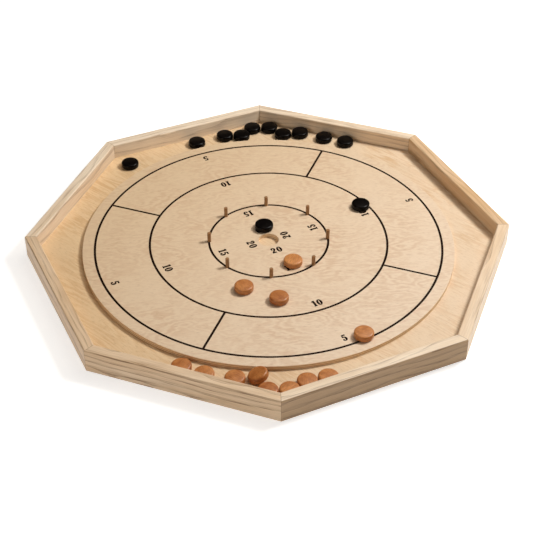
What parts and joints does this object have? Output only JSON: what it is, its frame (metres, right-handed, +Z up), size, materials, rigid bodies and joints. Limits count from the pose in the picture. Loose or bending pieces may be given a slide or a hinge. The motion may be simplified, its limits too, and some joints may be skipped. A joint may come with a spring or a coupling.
{
  "type": "crokinole board",
  "caption": "Octagonal wooden crokinole board with a raised round playing surface, pegged inner ring, middle hole, ditch and loose black and tan game discs.",
  "frame": {"origin": "middle of the board, on the surface it stands on", "axes": "+Z up out of the playing surface, -Y towards the near player's side, each axis square to a rail"},
  "size_m": [0.7652, 0.7652, 0.0406],
  "materials": {
    "ash_rail": "clear satin lacquer",
    "beech_biscuit": "raw",
    "birch_base": "clear satin lacquer",
    "birch_surface": "clear polished lacquer",
    "steel_screw": "zinc plated",
    "peg_wood": "stained",
    "black_lacquer": "gloss black lacquer",
    "tan_wood": "satin stain and lacquer"
  },
  "bodies": {
    "board": {"rail_1": "ash_rail", "rail_2": "ash_rail", "rail_3": "ash_rail", "rail_4": "ash_rail", "rail_5": "ash_rail", "rail_6": "ash_rail", "rail_7": "ash_rail", "rail_8": "ash_rail", "mitre_biscuits": "beech_biscuit", "base_panel": "birch_base", "playing_surface": "birch_surface", "surface_screws": "steel_screw", "peg_1": "peg_wood", "peg_2": "peg_wood", "peg_3": "peg_wood", "peg_4": "peg_wood", "peg_5": "peg_wood", "peg_6": "peg_wood", "peg_7": "peg_wood", "peg_8": "peg_wood"},
    "black_disc_01": {"black_disc_01": "black_lacquer"},
    "black_disc_02": {"black_disc_02": "black_lacquer"},
    "black_disc_03": {"black_disc_03": "black_lacquer"},
    "black_disc_04": {"black_disc_04": "black_lacquer"},
    "black_disc_05": {"black_disc_05": "black_lacquer"},
    "black_disc_06": {"black_disc_06": "black_lacquer"},
    "black_disc_07": {"black_disc_07": "black_lacquer"},
    "black_disc_08": {"black_disc_08": "black_lacquer"},
    "black_disc_09": {"black_disc_09": "black_lacquer"},
    "black_disc_10": {"black_disc_10": "black_lacquer"},
    "black_disc_11": {"black_disc_11": "black_lacquer"},
    "black_disc_12": {"black_disc_12": "black_lacquer"},
    "tan_disc_01": {"tan_disc_01": "tan_wood"},
    "tan_disc_02": {"tan_disc_02": "tan_wood"},
    "tan_disc_03": {"tan_disc_03": "tan_wood"},
    "tan_disc_04": {"tan_disc_04": "tan_wood"},
    "tan_disc_05": {"tan_disc_05": "tan_wood"},
    "tan_disc_06": {"tan_disc_06": "tan_wood"},
    "tan_disc_07": {"tan_disc_07": "tan_wood"},
    "tan_disc_08": {"tan_disc_08": "tan_wood"},
    "tan_disc_09": {"tan_disc_09": "tan_wood"},
    "tan_disc_10": {"tan_disc_10": "tan_wood"},
    "tan_disc_11": {"tan_disc_11": "tan_wood"},
    "tan_disc_12": {"tan_disc_12": "tan_wood"}
  },
  "joints": [
    {"name": "black_disc_01_slide", "type": "slide", "parent": "board", "child": "black_disc_01", "axis": [0, 1, 0], "range_m": [0, 0.26]},
    {"name": "black_disc_02_slide", "type": "slide", "parent": "board", "child": "black_disc_02", "axis": [1, 0, 0], "range_m": [-0.12, 0.11]},
    {"name": "black_disc_03_lift", "type": "slide", "parent": "board", "child": "black_disc_03", "axis": [0, 0, 1], "range_m": [0, 0.05]},
    {"name": "black_disc_04_lift", "type": "slide", "parent": "board", "child": "black_disc_04", "axis": [0, 0, 1], "range_m": [0, 0.05]},
    {"name": "black_disc_05_lift", "type": "slide", "parent": "board", "child": "black_disc_05", "axis": [0, 0, 1], "range_m": [0, 0.05]},
    {"name": "black_disc_06_lift", "type": "slide", "parent": "board", "child": "black_disc_06", "axis": [0, 0, 1], "range_m": [0, 0.05]},
    {"name": "black_disc_07_lift", "type": "slide", "parent": "board", "child": "black_disc_07", "axis": [0, 0, 1], "range_m": [0, 0.05]},
    {"name": "black_disc_08_lift", "type": "slide", "parent": "board", "child": "black_disc_08", "axis": [0, 0, 1], "range_m": [0, 0.05]},
    {"name": "black_disc_09_lift", "type": "slide", "parent": "board", "child": "black_disc_09", "axis": [0, 0, 1], "range_m": [0, 0.05]},
    {"name": "black_disc_10_lift", "type": "slide", "parent": "board", "child": "black_disc_10", "axis": [0, 0, 1], "range_m": [0, 0.05]},
    {"name": "black_disc_11_lift", "type": "slide", "parent": "board", "child": "black_disc_11", "axis": [0, 0, 1], "range_m": [0, 0.05]},
    {"name": "black_disc_12_lift", "type": "slide", "parent": "board", "child": "black_disc_12", "axis": [0, 0, 1], "range_m": [0, 0.05]},
    {"name": "tan_disc_01_slide", "type": "slide", "parent": "board", "child": "tan_disc_01", "axis": [0, -1, 0], "range_m": [-0.04, 0.175]},
    {"name": "tan_disc_02_slide", "type": "slide", "parent": "board", "child": "tan_disc_02", "axis": [-0.6639, -0.7478, 0], "range_m": [0, 0.155]},
    {"name": "tan_disc_03_slide", "type": "slide", "parent": "board", "child": "tan_disc_03", "axis": [-0.3269, -0.9451, 0], "range_m": [-0.02, 0.13]},
    {"name": "tan_disc_04_slide", "type": "slide", "parent": "board", "child": "tan_disc_04", "axis": [1, 0, 0], "range_m": [-0.07, 0.055]},
    {"name": "tan_disc_05_lift", "type": "slide", "parent": "board", "child": "tan_disc_05", "axis": [0, 0, 1], "range_m": [0, 0.05]},
    {"name": "tan_disc_06_lift", "type": "slide", "parent": "board", "child": "tan_disc_06", "axis": [0, 0, 1], "range_m": [0, 0.05]},
    {"name": "tan_disc_07_lift", "type": "slide", "parent": "board", "child": "tan_disc_07", "axis": [0, 0, 1], "range_m": [0, 0.05]},
    {"name": "tan_disc_08_lift", "type": "slide", "parent": "board", "child": "tan_disc_08", "axis": [0, 0, 1], "range_m": [0, 0.05]},
    {"name": "tan_disc_09_lift", "type": "slide", "parent": "board", "child": "tan_disc_09", "axis": [0, 0, 1], "range_m": [0, 0.05]},
    {"name": "tan_disc_10_lift", "type": "slide", "parent": "board", "child": "tan_disc_10", "axis": [0, 0, 1], "range_m": [0, 0.05]},
    {"name": "tan_disc_11_lift", "type": "slide", "parent": "board", "child": "tan_disc_11", "axis": [0, 0, 1], "range_m": [0, 0.05]},
    {"name": "tan_disc_12_lift", "type": "slide", "parent": "tan_disc_08", "child": "tan_disc_12", "axis": [0, 0, 1], "range_m": [0, 0.05]}
  ]
}
